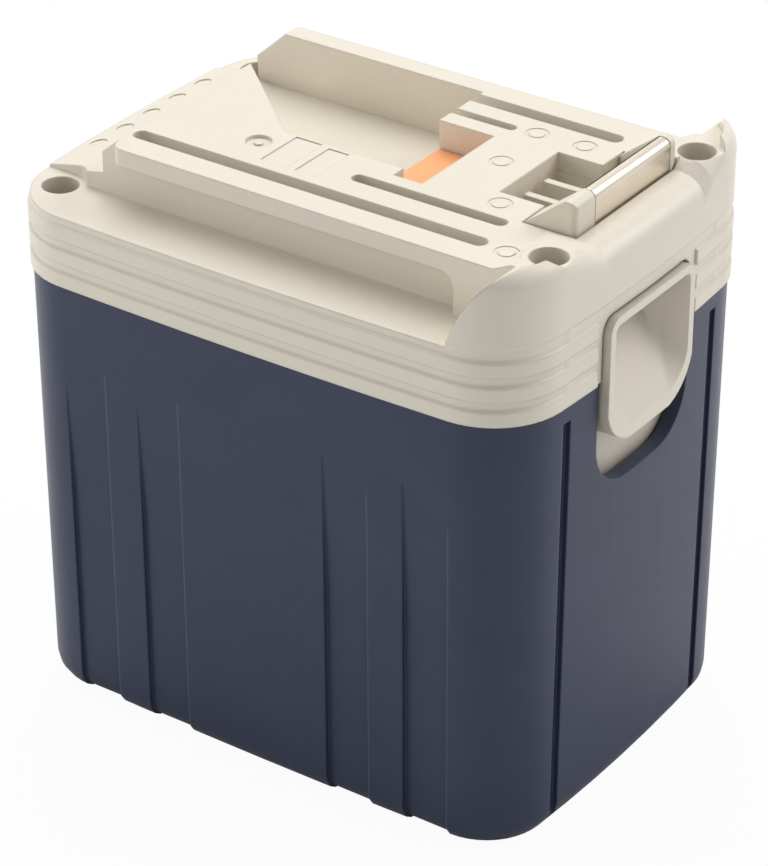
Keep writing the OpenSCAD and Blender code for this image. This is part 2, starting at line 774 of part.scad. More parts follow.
// The open trough between the rails: two curved slopes that meet in its near corner
module trough_cut() {
    corner = bay_x - trough_back;
    sky = platform_z + over;
    slope = concat([[-hair, sky]], curve([-hair, platform_z], [0.45 * trough_slope, trough_z],
        [trough_slope, trough_z], 7), [[case_len, trough_z], [case_len, sky]]);
    steep = concat([[-hair, sky]], curve([-hair, platform_z], [0.05 * trough_slope, trough_z],
        [0.4 * trough_slope, trough_z], 6), [[case_len, trough_z], [case_len, sky]]);
    intersection() {
        translate([0, -trough_near, 0]) along_x(slope, -end_x - over, bay_x);
        translate([corner, -trough_near, 0]) rotate(-trough_angle)
            along_x(steep, -case_len, case_len);
        union() {
            block([-end_x - over, -side_y, trough_z], [bay_x, trough_wall_y, sky]);
            // The trough runs on to the long slot's mouth
            block([0, bay_far, trough_z], [bay_x + hair, slot_y + slot_w / 2, sky]);
        }
    }
}

// Slots for the tool's rails and blades
module slot_cuts() {
    sky = platform_z + over;
    slot(slot_front_in - end_x, end_x - slot_rear_in, -slot_y, slot_w,
        platform_z - slot_depth, sky);
    slot(far_slot_front_x, end_x - far_slot_rear_in, slot_y, slot_w,
        platform_z - slot_depth, sky);
    slot(near_blade_front_x, end_x - near_blade_rear_in, -near_blade_y, near_blade_w,
        platform_z - blade_depth, sky);
    slot(bay_x - slot_w, bay_x + far_blade_end, far_blade_y, far_blade_w,
        platform_z - blade_depth, sky);
}

// How far the bay's near edge reaches over the contact carrier
bay_lip = 6;

// Room for the terminals' forks and tails, open to the inside
fork_len = 9.6;
near_fork_in = 17;
far_fork_in = 3;
near_fork_x = near_blade_front_x + near_fork_in;
far_fork_x = bay_x + far_fork_in;
fork_room = 0.4;
module fork_room_cuts() {
    for (f = [[near_fork_x, -near_blade_y, near_blade_w], [far_fork_x, far_blade_y, far_blade_w]])
        block([f[0] - fork_room, f[1] - f[2] / 2 + hair, joint_z],
            [f[0] + fork_len + fork_room, f[1] + f[2] / 2 - hair, platform_z - blade_depth + over]);
}

// The terminal bay and its opening
module bay_cuts() {
    block([bay_x, -bay_near, joint_z], [bay_x + bay_len, bay_far, platform_under_z]);
    block([bay_x - hair, -trough_near, platform_z - block_drop],
        [bay_x + bay_open, bay_far, platform_z + over]);
    block([bay_x + bay_lip, -bay_near, platform_z - block_drop],
        [bay_x + bay_open, bay_far, platform_z + over]);
}

// The latch's pocket, its slot and the shaft below them
module latch_cuts() {
    half = base_half + latch_gap;
    block([pocket_x, -half, joint_z], [slot_x, half, platform_under_z]);
    block([pocket_x, -pocket_near, platform_under_z - over],
        [cheek_x + over, pocket_far, platform_z + over]);
    block([cheek_x - latch_gap, latch_near - latch_gap, latch_base_z - travel - latch_gap],
        [slot_x, latch_far + latch_gap, wall_top_z + over]);
    // Clear of the skirt behind the button
    block([frame_x - over, -skirt_half - button_gap, joint_z - over],
        [skirt_x + button_gap, skirt_half + button_gap, button_top_z + button_gap]);
}

// The button's window in the end wall, and the plain panel round it
module window_cuts() {
    half = button_half + button_gap;
    top = button_top_z + button_gap;
    along_x(concat([[half, joint_z - over]],
        arc([half - button_r, top - button_r], button_r, 0, 90, 6),
        arc([button_r - half, top - button_r], button_r, 90, 180, 6),
        [[-half, joint_z - over]]), slot_x - over, end_x + over);
    difference() {
        block([corner_x, -panel_half, joint_z - over],
            [end_x + over, panel_half, joint_z + rib_top - rib_slope]);
        slab(rib_step, joint_z - 2 * over, wall_top_z);
    }
}

// Fine marks on the top: ejector rings, two shallow panels and the front dimples
mark_depth = 0.2;
ring_d = 4.6;
ring_w = 0.7;
ring_depth = 0.12;
// Where the rings lie, as shares of the way from the bay to the latch and from the middle
// to the rail's lip
ring_shares = [[0.393, 0.567], [0.613, 0.58], [0.413, 0.137], [0.609, -0.315], [0.85, -0.79]];
pit_d = 5;
pit_pin_d = 1.8;
pit_depth = 0.6;
pit_in = 22.3;
pit_y_share = -0.446;
// A panel's front and length, and its far edge, as shares of the bay's length and of the
// distance to the lip
panel_shares = [[-0.733, 0.242, -0.274], [-0.412, 0.192, -0.293]];
panel_near_share = -0.634;
dimple_in = 4;
dimple_d = 3.4;
dimple_depth = 0.25;
dimple_shift = 1.9;
module marks_cut() {
    for (p = ring_shares) translate([bay_x + p[0] * (latch_x - bay_x), p[1] * lip_y,
        platform_z - ring_depth]) difference() {
        cylinder(d = ring_d, h = ring_depth + over);
        translate([0, 0, -over])
            cylinder(d = ring_d - 2 * ring_w, h = ring_depth + 3 * over);
    }
    for (p = panel_shares) let (x = bay_x + p[0] * bay_len)
        block([x, panel_near_share * lip_y, platform_z - mark_depth],
            [x + p[1] * bay_len, p[2] * lip_y, platform_z + over]);
    translate([bay_x - pit_in, pit_y_share * lip_y, platform_z - pit_depth]) difference() {
        cylinder(d = pit_d, h = pit_depth + over);
        translate([0, 0, -over]) cylinder(d = pit_pin_d, h = over + 0.5 * pit_depth);
    }
    slope = (ramp_head_h - front_edge_h) / ramp_len;
    for (i = [0:dimples - 1]) translate([dimple_in - end_x,
        dimple_shift + (i - (dimples - 1) / 2) * dimple_pitch,
        joint_z + front_edge_h + dimple_in * slope - dimple_depth])
        rotate([0, -atan(slope), 0]) cylinder(d = dimple_d, h = platform_h);
}

module cover_wells() {
    for (p = ear_places) translate([p[0], p[1], ledge_under_z - over])
        cylinder(d = ear_screw_d - 2 * tongue_gap, h = ear_screw_len);
    for (p = screw_places) translate([p[0], p[1], 0]) {
        translate([0, 0, seat_z]) cylinder(d = well_d, h = wall_top_z - seat_z + over);
        translate([0, 0, joint_z - over]) cylinder(d = shank_hole_d, h = seat_h + 2 * over);
    }
}

// The flat round a front well, open to the front and to the side
module front_corner_cut() {
    r = well_d / 2 + boss_rim;
    translate([front_screw_x, front_screw_y, joint_z + front_boss_h]) {
        cylinder(r = r, h = platform_h);
        translate([-front_screw_in - over, -r, 0])
            cube([front_screw_in + over, front_screw_side + r, platform_h]);
    }
}

module cover_bosses() {
    for (s = [-1, 1]) {
        translate([front_screw_x, s * front_screw_y, joint_z + hair])
            cylinder(d = well_d + 2 * boss_rim, h = front_boss_h - hair);
        translate([rear_screw_x, s * rear_screw_y, joint_z + hair])
            cylinder(d = well_d + 2 * boss_rim, h = wall_top_z - rear_boss_drop - joint_z - hair);
    }
}

// The rebate that the case's tongue stands in
module tongue_cut() difference() {
    slab(cavity_inset - tongue_t - tongue_gap, joint_z - over, joint_z + tongue_h + tongue_gap);
    slab(cavity_inset + tongue_gap, joint_z - 2 * over, joint_z + tongue_h + 2 * over);
}

module upper_cover() color(cream) {
    difference() {
        union() {
            difference() {
                loft(cover_rings);
                // Inside: the main hollow and the hollow under the platform
                slab(cover_wall + rib_step, joint_z - over, ledge_under_z);
                block([lip_start - end_x, near_core_low, ledge_under_z - over],
                    [near_blade_front_x - cover_skin, near_core_high, platform_under_z]);
                sky_cut();
                both_sides() ledge_cut();
                both_sides() channel_cut();
                lip_corner_cut();
                ramp_cut();
                trough_cut();
                both_sides() front_corner_cut();
                for (s = [-1, 1]) translate([rear_screw_x, s * rear_screw_y,
                    wall_top_z - rear_boss_drop])
                    cylinder(d = well_d + 2 * boss_rim, h = 2 * end_wall_h);
            }
            cover_bosses();
        }
        tongue_cut();
        low_edge_cut();
        slot_cuts();
        fork_room_cuts();
        bay_cuts();
        latch_cuts();
        window_cuts();
        marks_cut();
        cover_wells();
    }
}

// The hollow under the platform, between the long slot and the trough
near_core_low = -slot_y + slot_w / 2 + cover_skin / 2;
near_core_high = -trough_near - 1.6 * cover_skin;

// Screws

module screw(head_d, head_h, shank_d, shank_len) {
    drive_w = 0.2 * head_d;
    difference() {
        union() {
            cylinder(d = head_d, h = head_h);
            translate([0, 0, -shank_len]) cylinder(d = shank_d, h = shank_len + hair);
        }
        for (a = [0, 90]) rotate(a) translate([-0.35 * head_d, -drive_w / 2, head_h / 2])
            cube([0.7 * head_d, drive_w, head_h]);
    }
}

module cover_screws() color(steel) {
    for (p = screw_places) translate([p[0], p[1], seat_z])
        screw(screw_head_d, screw_head_h, pilot_d, screw_len);
}

// Release button, with its finger cup and the skirt behind the thumb notch

// The button's face, as an outline in Y and Z, set in by a distance
cup_least_r = 1;
function button_points(inset) = let (half = button_half - inset,
    r = max(button_r - inset, cup_least_r),
    top = button_top_z - inset, low = button_bottom_z + inset,
    c = button_curve - 0.4 * inset, d = curve_pull * c) concat(
    arc([half - r, top - r], r, 0, 90, 5),
    arc([r - half, top - r], r, 90, 180, 5),
    curve([-half, low + c], [-half + d, low + d], [-half + c, low], 6),
    curve([half - c, low], [half - d, low + d], [half, low + c], 6));

// The finger cup, deeper at its top than at its foot
module cup(grow, front) {
    deep_x = button_face_x - cup_depth;
    floor_in = cup_rim + cup_low;
    mid_x = button_face_x - 0.6 * cup_depth;
    hull() {
        along_x(button_points(cup_rim - grow), front - hair, front);
        along_x([for (p = button_points(cup_rim + 0.35 * cup_low - grow))
            [p[0], max(p[1], joint_z - cup_low)]], mid_x - grow, mid_x - grow + hair);
        along_x([for (p = button_points(floor_in - grow)) [p[0], max(p[1], joint_z + cup_rim)]],
            deep_x - grow, deep_x - grow + hair);
    }
}

module release_button() color(cream) {
    skirt_top = button_top_z - button_gap;
    difference() {
        union() {
            along_x(button_points(0), skirt_x - skirt_t / 2, button_face_x);
            block([skirt_x - skirt_t, -skirt_half, joint_z - notch_depth - skirt_tail],
                [skirt_x, skirt_half, skirt_top]);
            cup(cup_wall, button_face_x - over);
            // Two bosses that the slide frame is fixed to
            for (s = [-1, 1]) translate([frame_x + frame_t + hair, s * 0.4 * frame_half,
                button_top_z - cup_low]) rotate([0, 90, 0])
                cylinder(d = 2 * cup_low, h = skirt_x - frame_x - frame_t - skirt_t);
        }
        cup(0, button_face_x + over);
    }
}

module slide_frame() color("#4a4a4c") {
    low = joint_z - frame_drop;
    high = latch_base_z - hair;
    difference() {
        union() {
            block([frame_x, -frame_half, low], [frame_x + frame_t, frame_half, high]);
            block([frame_x, -frame_half, high - frame_t],
                [latch_x - latch_gap, frame_half, high]);
            for (s = [-1, 1]) along_y([[frame_x + frame_t - hair, high - frame_t + hair],
                [latch_x - latch_gap, high - frame_t + hair],
                [frame_x + frame_t - hair, high - 3 * frame_t]],
                s * 0.8 * frame_half - frame_t / 2, s * 0.8 * frame_half + frame_t / 2);
        }
        block([frame_x - over, -0.45 * frame_half, low + 2 * frame_t],
            [frame_x + frame_t + over, 0.45 * frame_half, joint_z - frame_t]);
    }
}

// The rounded upper front edge that the cap and the cheeks share, set in by a distance
function cap_arc(inset, from, to) = arc([latch_x - cap_r, latch_top_z - cap_r], cap_r - inset,
    from, to, 5);

module latch() color(cream) {
    low = latch_base_z;
    wall_x = latch_x - cap_t - hair;
    cheek_profile = concat([[cheek_x, low], [cheek_x, platform_z - hair],
        [latch_x - cap_w, latch_top_z]], cap_arc(0, 90, 0), [[latch_x, low]]);
    difference() {
        union() {
            block([pocket_x + latch_gap, -base_half, low],
                [latch_x - hair, base_half, low + latch_base_t]);
            block([cheek_x + hair, latch_near + hair, low],
                [latch_x - hair, latch_far - hair, low + latch_base_t]);
            along_y(concat([[wall_x - latch_wall, low + hair],
                [wall_x - latch_wall, latch_top_z - cap_t - hair]], cap_arc(cap_t + hair, 90, 0),
                [[wall_x, low + hair]]), cap_near - hair, cap_far + hair);
            along_y(cheek_profile, latch_near, cap_near - hair);
            along_y(cheek_profile, cap_far + hair, latch_far);
            for (share = latch_rib_shares) let (y = share * pocket_far)
                block([pocket_x + latch_gap + over, y - latch_rib_t / 2, low + hair],
                    [wall_x - hair, y + latch_rib_t / 2, platform_z - latch_rib_drop]);
        }
        // The near cheek's upright corner
        difference() {
            block([latch_x - cheek_r, latch_near - over, low - over],
                [latch_x + over, latch_near + cheek_r, latch_top_z + over]);
            translate([latch_x - cheek_r, latch_near + cheek_r, low - 2 * over])
                cylinder(r = cheek_r, h = latch_sink + latch_h + 4 * over);
        }
    }
}

module latch_plate() color(steel) {
    low = platform_z - travel;
    back_z = latch_top_z - 4 * cap_t;
    lip_x = latch_x - cap_w + cap_t - hair;
    along_y(concat([[latch_x, low]], cap_arc(0, 0, 90), [[latch_x - cap_w, latch_top_z],
        [latch_x - cap_w, back_z], [lip_x, back_z], [lip_x, latch_top_z - cap_t]],
        cap_arc(cap_t, 90, 0), [[latch_x - cap_t, low]]), cap_near + cap_gap, cap_far - cap_gap);
}

// Button springs, from the seat up to the latch

spring_low = seat_plate_z + seat_t + spring_wire / 2 + hair;
spring_high = latch_base_z - spring_wire / 2 - hair;
ring_count = 8;
spring_path = [for (i = [0:spring_turns * ring_count]) let (t = i / (spring_turns * ring_count))
    [spring_d / 2 * cos(360 * spring_turns * t), spring_d / 2 * sin(360 * spring_turns * t),
        spring_low + (spring_high - spring_low) * t]];
spring_gap = min([for (i = [0:ring_count * (spring_turns - 1)])
    norm(spring_path[i + ring_count] - spring_path[i])]) - spring_wire;
echo("least gap between the curls of a button spring, mm", spring_gap);

module button_springs() color(steel) {
    for (s = [-1, 1]) translate([spring_x, s * spring_y, 0]) tube(spring_path, spring_wire / 2, 6);
}

module spring_seat() color("#4a4a4c") {
    high = ledge_under_z - hair;
    x = spring_x - seat_len / 2;
    leg_y = seat_half - seat_leg_t;
    union() {
        block([x, -seat_half, seat_plate_z], [x + seat_len, seat_half, seat_plate_z + seat_t]);
        both_sides() block([x, leg_y, seat_plate_z + hair], [x + seat_len, seat_half, high]);
        for (s = [-1, 1]) translate([spring_x, s * spring_y, seat_plate_z + seat_t - hair])
            cylinder(d = spring_d - 2 * spring_wire, h = 3 * spring_wire);
    }
}

// Terminal block and its terminals

block_top_z = platform_z - block_drop;
block_low_z = block_top_z - block_h;
ear_t = 2;
ear_w = 7.4;
near_ear_in = 3;
far_ear_in = 15.8;
near_ear_x = near_blade_front_x + near_ear_in;
far_ear_x = bay_x + far_ear_in;
ear_len = 8;
ear_screw_d = 2.5;
ear_screw_len = 5;
ear_places = [[near_ear_x + ear_len / 2, -bay_near - ear_w / 2],
    [far_ear_x + ear_len / 2, bay_far + ear_w / 2]];
signal_slot_w = 1.6;
signal_shares = [-0.35, 0.35];
signal_places = [for (share = signal_shares) share * bay_near];

module terminal_block() color(orange) {
    x = bay_x + block_gap;
    rear = bay_x + bay_len - block_gap;
    high = ledge_under_z - hair;
    difference() {
        union() {
            block([x, block_gap - bay_near, block_low_z], [rear, bay_far - block_gap, block_top_z]);
            block([near_ear_x, -bay_near - ear_w, high - ear_t],
                [near_ear_x + ear_len, block_gap - bay_near + hair, high]);
            block([far_ear_x, bay_far - block_gap - hair, high - ear_t],
                [far_ear_x + ear_len, bay_far + ear_w, high]);
        }
        for (y = signal_places)
            block([x - over, y - signal_slot_w / 2, block_low_z + ear_t],
                [x + 0.5 * bay_open, y + signal_slot_w / 2, block_top_z - ear_t]);
        for (p = ear_places) translate([p[0], p[1], high - ear_t - over])
            cylinder(d = ear_screw_d + 2 * tongue_gap, h = ear_t + 2 * over);
    }
}

module terminal_screws() color(steel) {
    for (p = ear_places) translate([p[0], p[1], ledge_under_z - hair - ear_t - hair])
        rotate([180, 0, 0]) screw(1.8 * ear_screw_d, ear_t / 2, ear_screw_d - 2 * tongue_gap,
            ear_screw_len);
}

// A terminal's fork in its blade slot, on a tail that reaches down inside
fork_h = 7;
fork_foot = 0.6;
fork_low_z = platform_z - blade_depth + fork_foot;
tail_w = 4;
tail_lift = 4.4;
tail_low_z = joint_z + tail_lift;
module fork(x, y, w) {
    gap = w - 2 * hair - 2 * block_gap;
    low = fork_low_z - over;
    translate([x, y, 0]) {
        for (s = [-1, 1]) block([0, s * (gap / 2 - blade_t / 2) - blade_t / 2, low],
            [fork_len, s * (gap / 2 - blade_t / 2) + blade_t / 2, low + fork_h]);
        block([0, -gap / 2, low - blade_t], [fork_len, gap / 2, low + hair]);
        block([fork_len / 2 - tail_w / 2, -blade_t / 2, tail_low_z],
            [fork_len / 2 + tail_w / 2, blade_t / 2, low - blade_t + hair]);
    }
}

module positive_terminal() color(brass) {
    fork(near_fork_x, -near_blade_y, near_blade_w);
}

module negative_terminal() color(brass) {
    fork(far_fork_x, far_blade_y, far_blade_w);
}

module signal_terminal() color(brass) {
    x = bay_x + block_gap + 0.2 * bay_open;
    for (y = signal_places) {
        block([x, y - blade_t / 2, block_low_z + ear_t + hair],
            [x + 0.25 * bay_open, y + blade_t / 2, block_top_z - ear_t - hair]);
        block([x + 0.1 * bay_open, y - blade_t / 2, tail_low_z],
            [x + 0.2 * bay_open, y + blade_t / 2, block_low_z - hair]);
    }
}

// Cells

module cans(base) {
    for (i = [0:len(cell_places) - 1]) let (p = cell_places[i])
        translate([p[0], p[1], base + (upright(i) ? 0 : cell_button_h)])
            cylinder(r = cell_r, h = cell_h - cell_button_h);
}

module sleeves(base) {
    for (i = [0:len(cell_places) - 1]) let (p = cell_places[i])
        translate([p[0], p[1], base + (upright(i) ? 0 : cell_button_h) + hair]) difference() {
            cylinder(r = sleeve_r, h = cell_h - cell_button_h - 2 * hair);
            translate([0, 0, -over]) cylinder(r = cell_r, h = cell_h + 2 * over);
        }
}

module lower_cells() color(steel) cans(lower_cell_z);

module upper_cells() color(steel) cans(upper_cell_z);

module lower_sleeves() color("#2f7d54") sleeves(lower_cell_z);

module upper_sleeves() color("#2f7d54") sleeves(upper_cell_z);

module cell_buttons() color(steel) {
    for (base = [lower_cell_z, upper_cell_z]) for (i = [0:len(cell_places) - 1])
        let (p = cell_places[i]) translate([p[0], p[1],
            base + (upright(i) ? cell_h - cell_button_h : 0)])
            cylinder(d = cell_button_d, h = cell_button_h);
}

module cell_rings() color("#f0efe9") {
    for (base = [lower_cell_z, upper_cell_z]) for (i = [0:len(cell_places) - 1])
        let (p = cell_places[i]) translate([p[0], p[1], base + (upright(i)
            ? cell_h - cell_button_h : cell_button_h - cell_ring_t)]) difference() {
            cylinder(d = cell_ring_d, h = cell_ring_t);
            translate([0, 0, -over])
                cylinder(d = cell_button_d + 4 * hair, h = cell_ring_t + 2 * over);
        }
}

// A nickel strip between two cells
module strip(a, b, z) {
    run = norm(b - a);
    translate([a[0], a[1], z]) rotate(atan2(b[1] - a[1], b[0] - a[0]))
        translate([-strip_w / 2, -strip_w / 2, 0]) cube([run + strip_w, strip_w, strip_t]);
}

// Pairs of cells that the strips join, odd pairs and even pairs in turn
odd_pairs = [[0, 1], [2, 6], [5, 4], [3, 7], [8, 9]];
even_pairs = [[1, 2], [6, 5], [4, 3], [7, 8]];

module bottom_links() color(steel) {
    for (p = odd_pairs) strip(cell_places[p[0]], cell_places[p[1]], bottom_link_z);
}

module lower_links() color(steel) {
    for (p = even_pairs) strip(cell_places[p[0]], cell_places[p[1]], lower_link_z);
}

module upper_links() color(steel) {
    for (p = odd_pairs) strip(cell_places[p[0]], cell_places[p[1]], upper_link_z);
}

module top_links() color(steel) {
    for (p = even_pairs) strip(cell_places[p[0]], cell_places[p[1]], top_link_z);
    for (i = [0, 9]) strip(cell_places[i], cell_places[i], top_link_z);
}

// Pads and sheets

// Plan of the cell stack: the rows' outer cells, as one rounded shape
module stack_plan() {
    half_x = 1.5 * cell_pitch + sleeve_r;
    half_y = row_pitch + sleeve_r;
    row_x = cell_pitch + sleeve_r;
    polygon([[half_x, -sleeve_r], [half_x, sleeve_r], [row_x, half_y], [-row_x, half_y],
        [-half_x, sleeve_r], [-half_x, -sleeve_r], [-row_x, -half_y], [row_x, -half_y]]);
}

module bottom_pad() color(foam) translate([0, 0, pad_z]) linear_extrude(pad_t) stack_plan();

module side_pads() color(foam) {
    low = pad_z;
    high = stack_top_z;
    pad_y = row_pitch + sleeve_r + cell_gap;
    pad_x = 1.5 * cell_pitch + sleeve_r + cell_gap;
    half = cell_pitch + sleeve_r;
    intersection() {
        union() {
            both_sides() block([-half, pad_y, low], [half, side_y, high]);
            block([-end_x, -row_pitch, low], [-pad_x, row_pitch, high]);
        }
        slab(cavity_inset + cell_gap, low - over, high + over);
    }
}

module bottom_sheet() color(fibre)
    translate([0, 0, bottom_sheet_z]) linear_extrude(sheet_t) stack_plan();

module middle_sheet() color(fibre)
    translate([0, 0, middle_sheet_z]) linear_extrude(sheet_t) stack_plan();

// Leads, as routes from the top strips to the terminals' tails

hole_r = lead_d;
positive_start = cell_places[0];
negative_start = cell_places[9];
near_tail = [near_fork_x + fork_len / 2, -near_blade_y];
far_tail = [far_fork_x + fork_len / 2, far_blade_y];
lead_steps = 8;
lead_low_z = top_link_z + strip_t + lead_d / 2 + hair;

module top_sheet() color(fibre) difference() {
    translate([0, 0, top_sheet_z]) linear_extrude(sheet_t) stack_plan();
    for (p = [positive_start, negative_start]) translate([p[0], p[1], top_sheet_z - over])
        cylinder(r = hole_r, h = sheet_t + 2 * over);
}

lead_high = 7.2;
lead_low = 2.2;

// A lead that rises from a strip, runs across and stands beside a tail
function lead_route(from, to, y_step, r) = let (
    low = top_link_z + strip_t + hair, high = joint_z + lead_high,
    a = [from[0], from[1], low], b = [from[0], from[1], joint_z + lead_low],
    c = [to[0], to[1] + y_step, joint_z + lead_low], d = [to[0], to[1] + y_step, high]) concat(
    [a], curve(b - [0, 0, r], b, b + 3 * r * (c - b) / norm(c - b), 4),
    curve(c - 3 * r * (c - b) / norm(c - b), c, c + [0, 0, 3 * r], 4), [d]);

module positive_lead() color("#b3261e")
    tube(lead_route(positive_start, near_tail, -(lead_d + blade_t) / 2 - hair, lead_d / 2),
        lead_d / 2, 8);

module negative_lead() color("#222222")
    tube(lead_route(negative_start, far_tail, (lead_d + blade_t) / 2 + hair, lead_d / 2),
        lead_d / 2, 8);

sensor_x = cell_pitch / 2;
sensor_y = -row_pitch / 2;
sensor_d = 3;
sensor_len = 8;
signal_tail_x = bay_x + block_gap + 0.35 * bay_open;

module sensor_leads() color("#d8c34a") {
    for (s = [-1, 1]) tube([
        [sensor_x + s * sensor_wire_d, sensor_y, stack_top_z + sensor_d + 2 * hair],
        [sensor_x + s * sensor_wire_d, sensor_y + 2 * sensor_wire_d, joint_z + 3 * sensor_d / 2],
        [signal_tail_x + s * hair, signal_places[(s + 1) / 2] - 3 * sensor_wire_d,
            joint_z + 3 * sensor_d / 2],
        [signal_tail_x, signal_places[(s + 1) / 2] - (sensor_wire_d + blade_t) / 2 - hair,
            joint_z + 2 * sensor_d]], sensor_wire_d / 2, 8);
}

module thermistor() color("#1f1f22") {
    translate([sensor_x, sensor_y - sensor_len / 2, stack_top_z + sensor_d / 2 + hair])
        rotate([-90, 0, 0]) cylinder(d = sensor_d, h = sensor_len);
}

fuse_len = 11;
fuse_w = 5;
fuse_t = 3;
module thermal_fuse() color("#c8b89a") {
    x = cell_places[4][0];
    block([x - fuse_len / 2, row_pitch / 2 - fuse_w / 2, stack_top_z + hair],
        [x + fuse_len / 2, row_pitch / 2 + fuse_w / 2, stack_top_z + hair + fuse_t]);
}

lower_case();
upper_cover();
cover_screws();
release_button();
slide_frame();
latch();
latch_plate();
button_springs();
spring_seat();
terminal_block();
terminal_screws();
positive_terminal();
negative_terminal();
signal_terminal();
lower_cells();
upper_cells();
lower_sleeves();
upper_sleeves();
cell_buttons();
cell_rings();
bottom_links();
lower_links();
upper_links();
top_links();
bottom_pad();
side_pads();
bottom_sheet();
middle_sheet();
top_sheet();
positive_lead();
negative_lead();
sensor_leads();
thermistor();
thermal_fuse();
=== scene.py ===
"""Looks for a power tool battery pack: moulded case and cover, sprung latch, cells and stage."""

import json
import math

import bmesh
import bpy
from bpy.props import FloatProperty, FloatVectorProperty, PointerProperty
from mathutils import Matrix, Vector

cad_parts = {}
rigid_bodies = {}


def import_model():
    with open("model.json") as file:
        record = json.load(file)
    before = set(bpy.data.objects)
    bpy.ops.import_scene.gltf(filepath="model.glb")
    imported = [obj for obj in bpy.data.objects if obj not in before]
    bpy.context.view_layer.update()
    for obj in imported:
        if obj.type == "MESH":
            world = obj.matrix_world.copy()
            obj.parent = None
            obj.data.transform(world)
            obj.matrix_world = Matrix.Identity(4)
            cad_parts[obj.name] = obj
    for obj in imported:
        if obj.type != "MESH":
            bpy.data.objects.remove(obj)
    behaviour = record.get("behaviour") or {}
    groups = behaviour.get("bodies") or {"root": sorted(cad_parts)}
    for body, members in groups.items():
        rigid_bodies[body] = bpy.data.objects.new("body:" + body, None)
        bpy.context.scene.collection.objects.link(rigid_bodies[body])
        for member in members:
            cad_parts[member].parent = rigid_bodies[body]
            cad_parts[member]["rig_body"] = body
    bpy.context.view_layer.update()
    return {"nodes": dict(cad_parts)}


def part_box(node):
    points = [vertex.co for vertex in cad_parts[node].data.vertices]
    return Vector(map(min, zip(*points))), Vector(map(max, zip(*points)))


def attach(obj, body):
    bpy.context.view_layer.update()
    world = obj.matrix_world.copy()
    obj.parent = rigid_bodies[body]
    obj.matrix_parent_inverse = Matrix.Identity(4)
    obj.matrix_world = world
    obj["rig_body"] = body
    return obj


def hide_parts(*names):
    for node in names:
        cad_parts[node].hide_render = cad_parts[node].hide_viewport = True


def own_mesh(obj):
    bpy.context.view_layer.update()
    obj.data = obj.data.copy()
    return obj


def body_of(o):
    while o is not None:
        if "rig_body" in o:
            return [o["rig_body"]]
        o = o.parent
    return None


bl_info = {
    "name": "Power tool battery pack",
    "version": (1, 0, 0),
    "blender": (4, 5, 0),
    "location": "View3D > Sidebar > Pack",
    "description": "Builds the visible pieces and materials of a slide-on battery pack",
    "category": "Object",
}

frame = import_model()


# Settings


def colour_property(name, default, description):
    """A display colour, as seen on screen, that a user may change."""
    return FloatVectorProperty(
        name=name, description=description, default=default, subtype="COLOR_GAMMA",
        size=3, min=0.0, max=1.0,
    )


def length_property(name, default, description, largest=0.002):
    """A small length that a user may change."""
    return FloatProperty(
        name=name, description=description, default=default, min=0.0, max=largest,
        unit="LENGTH",
    )


def power_property(name, default, description):
    """A lamp's power that a user may change."""
    return FloatProperty(
        name=name, description=description, default=default, min=0.0, max=50.0, unit="POWER",
    )


class PackColours(bpy.types.PropertyGroup):
    """Colours of the pack's plastics, metals, sheets and wires."""

    cream: colour_property("Cream", (0.885, 0.856, 0.795), "Moulded cover, button and latch")
    navy: colour_property("Navy", (0.214, 0.240, 0.323), "Moulded lower case")
    orange: colour_property("Orange", (1.0, 0.68, 0.45), "Contact carrier in the bay")
    charcoal: colour_property("Charcoal", (0.17, 0.17, 0.18), "Slide frame and spring seat")
    steel: colour_property("Steel", (0.88, 0.84, 0.78), "Cap of the latch")
    zinc: colour_property("Zinc", (0.60, 0.59, 0.56), "Screws")
    spring: colour_property("Spring", (0.66, 0.66, 0.66), "Button springs")
    brass: colour_property("Brass", (0.80, 0.66, 0.40), "Contacts")
    nickel: colour_property("Nickel", (0.78, 0.77, 0.74), "Cell cans and welded strips")
    sleeve: colour_property("Sleeve", (0.12, 0.42, 0.27), "Shrink sleeves of the cells")
    board: colour_property("Board", (0.92, 0.91, 0.87), "Insulating rings of the cells")
    fibre: colour_property("Fibre", (0.78, 0.72, 0.58), "Insulating sheets")
    foam: colour_property("Foam", (0.10, 0.10, 0.11), "Foam pads")
    red: colour_property("Red", (0.62, 0.10, 0.08), "Positive lead")
    black: colour_property("Black", (0.07, 0.07, 0.075), "Negative lead")
    yellow: colour_property("Yellow", (0.80, 0.68, 0.20), "Leads of the temperature sensor")
    epoxy: colour_property("Epoxy", (0.10, 0.10, 0.11), "Temperature sensor")
    ceramic: colour_property("Ceramic", (0.74, 0.68, 0.56), "Thermal fuse")


class PackFinish(bpy.types.PropertyGroup):
    """Edges and surface grain."""

    part_edge: length_property(
        "Part edge", 0.00045, "Rounding of the small parts' moulded edges")
    cover_edge: length_property(
        "Cover edge", 0.0006, "Rounding of the cover's moulded edges")
    case_edge: length_property(
        "Case edge", 0.0005, "Rounding of the flutes' edges")
    steel_edge: length_property(
        "Steel edge", 0.0003, "Rounding of the steel cap's edges")
    grain_depth: length_property(
        "Grain depth", 0.000012, "Height of the mould's fine texture", largest=0.0002)
    smooth_angle: FloatProperty(
        name="Smooth angle", description="Faces that meet at less than this shade as one",
        default=math.radians(27.0), min=0.0, max=math.pi, subtype="ANGLE",
    )


